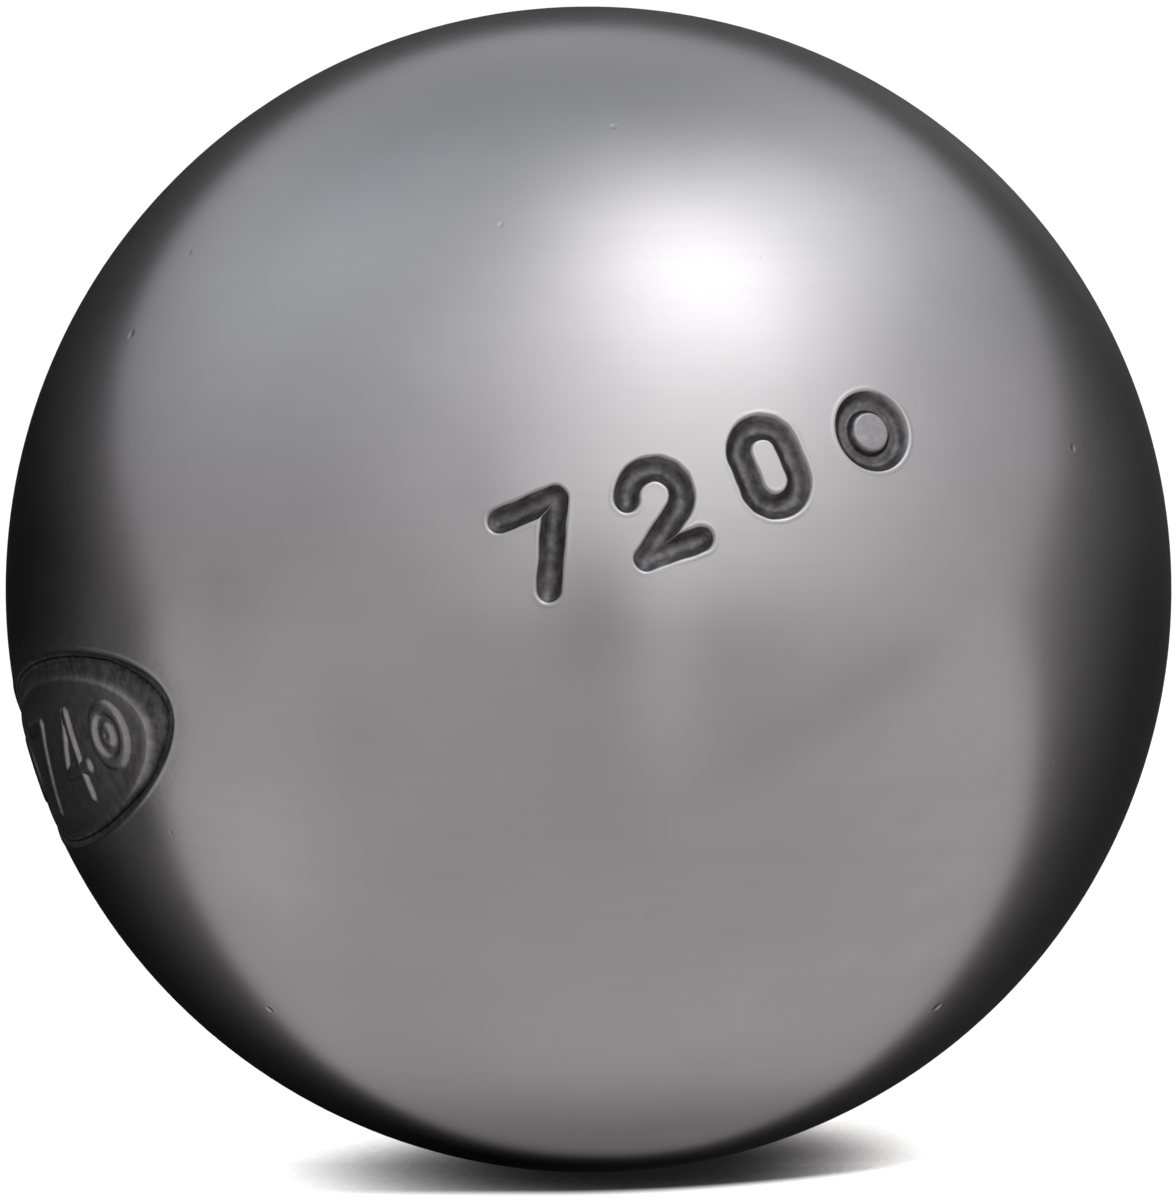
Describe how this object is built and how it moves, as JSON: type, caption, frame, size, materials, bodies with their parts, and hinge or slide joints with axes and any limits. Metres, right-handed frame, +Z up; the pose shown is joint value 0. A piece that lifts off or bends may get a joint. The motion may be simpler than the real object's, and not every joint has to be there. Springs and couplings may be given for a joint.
{
  "type": "petanque boule",
  "caption": "Hollow steel throwing ball for petanque, made of half shells joined by a weld turned flush, with marks struck in its front.",
  "frame": {"origin": "centre of the ball", "axes": "+Z is up and -Y is the front, where the struck marks are; the seam lies upright, turned 15 degrees about Z so that the front half shell's pole faces a little towards -X and the seam runs clear of the seal"},
  "size_m": [0.074, 0.074, 0.074],
  "materials": {
    "shell_steel": "satin turned stainless steel, fine lines and light pitting, struck marks dark and rough",
    "weld_steel": "weld metal turned flush with the shells and finished with them, so that the seam doesn't show"
  },
  "bodies": {
    "root": {"front_half_shell": "shell_steel", "back_half_shell": "shell_steel", "seam_weld_bead": "weld_steel"}
  },
  "joints": []
}
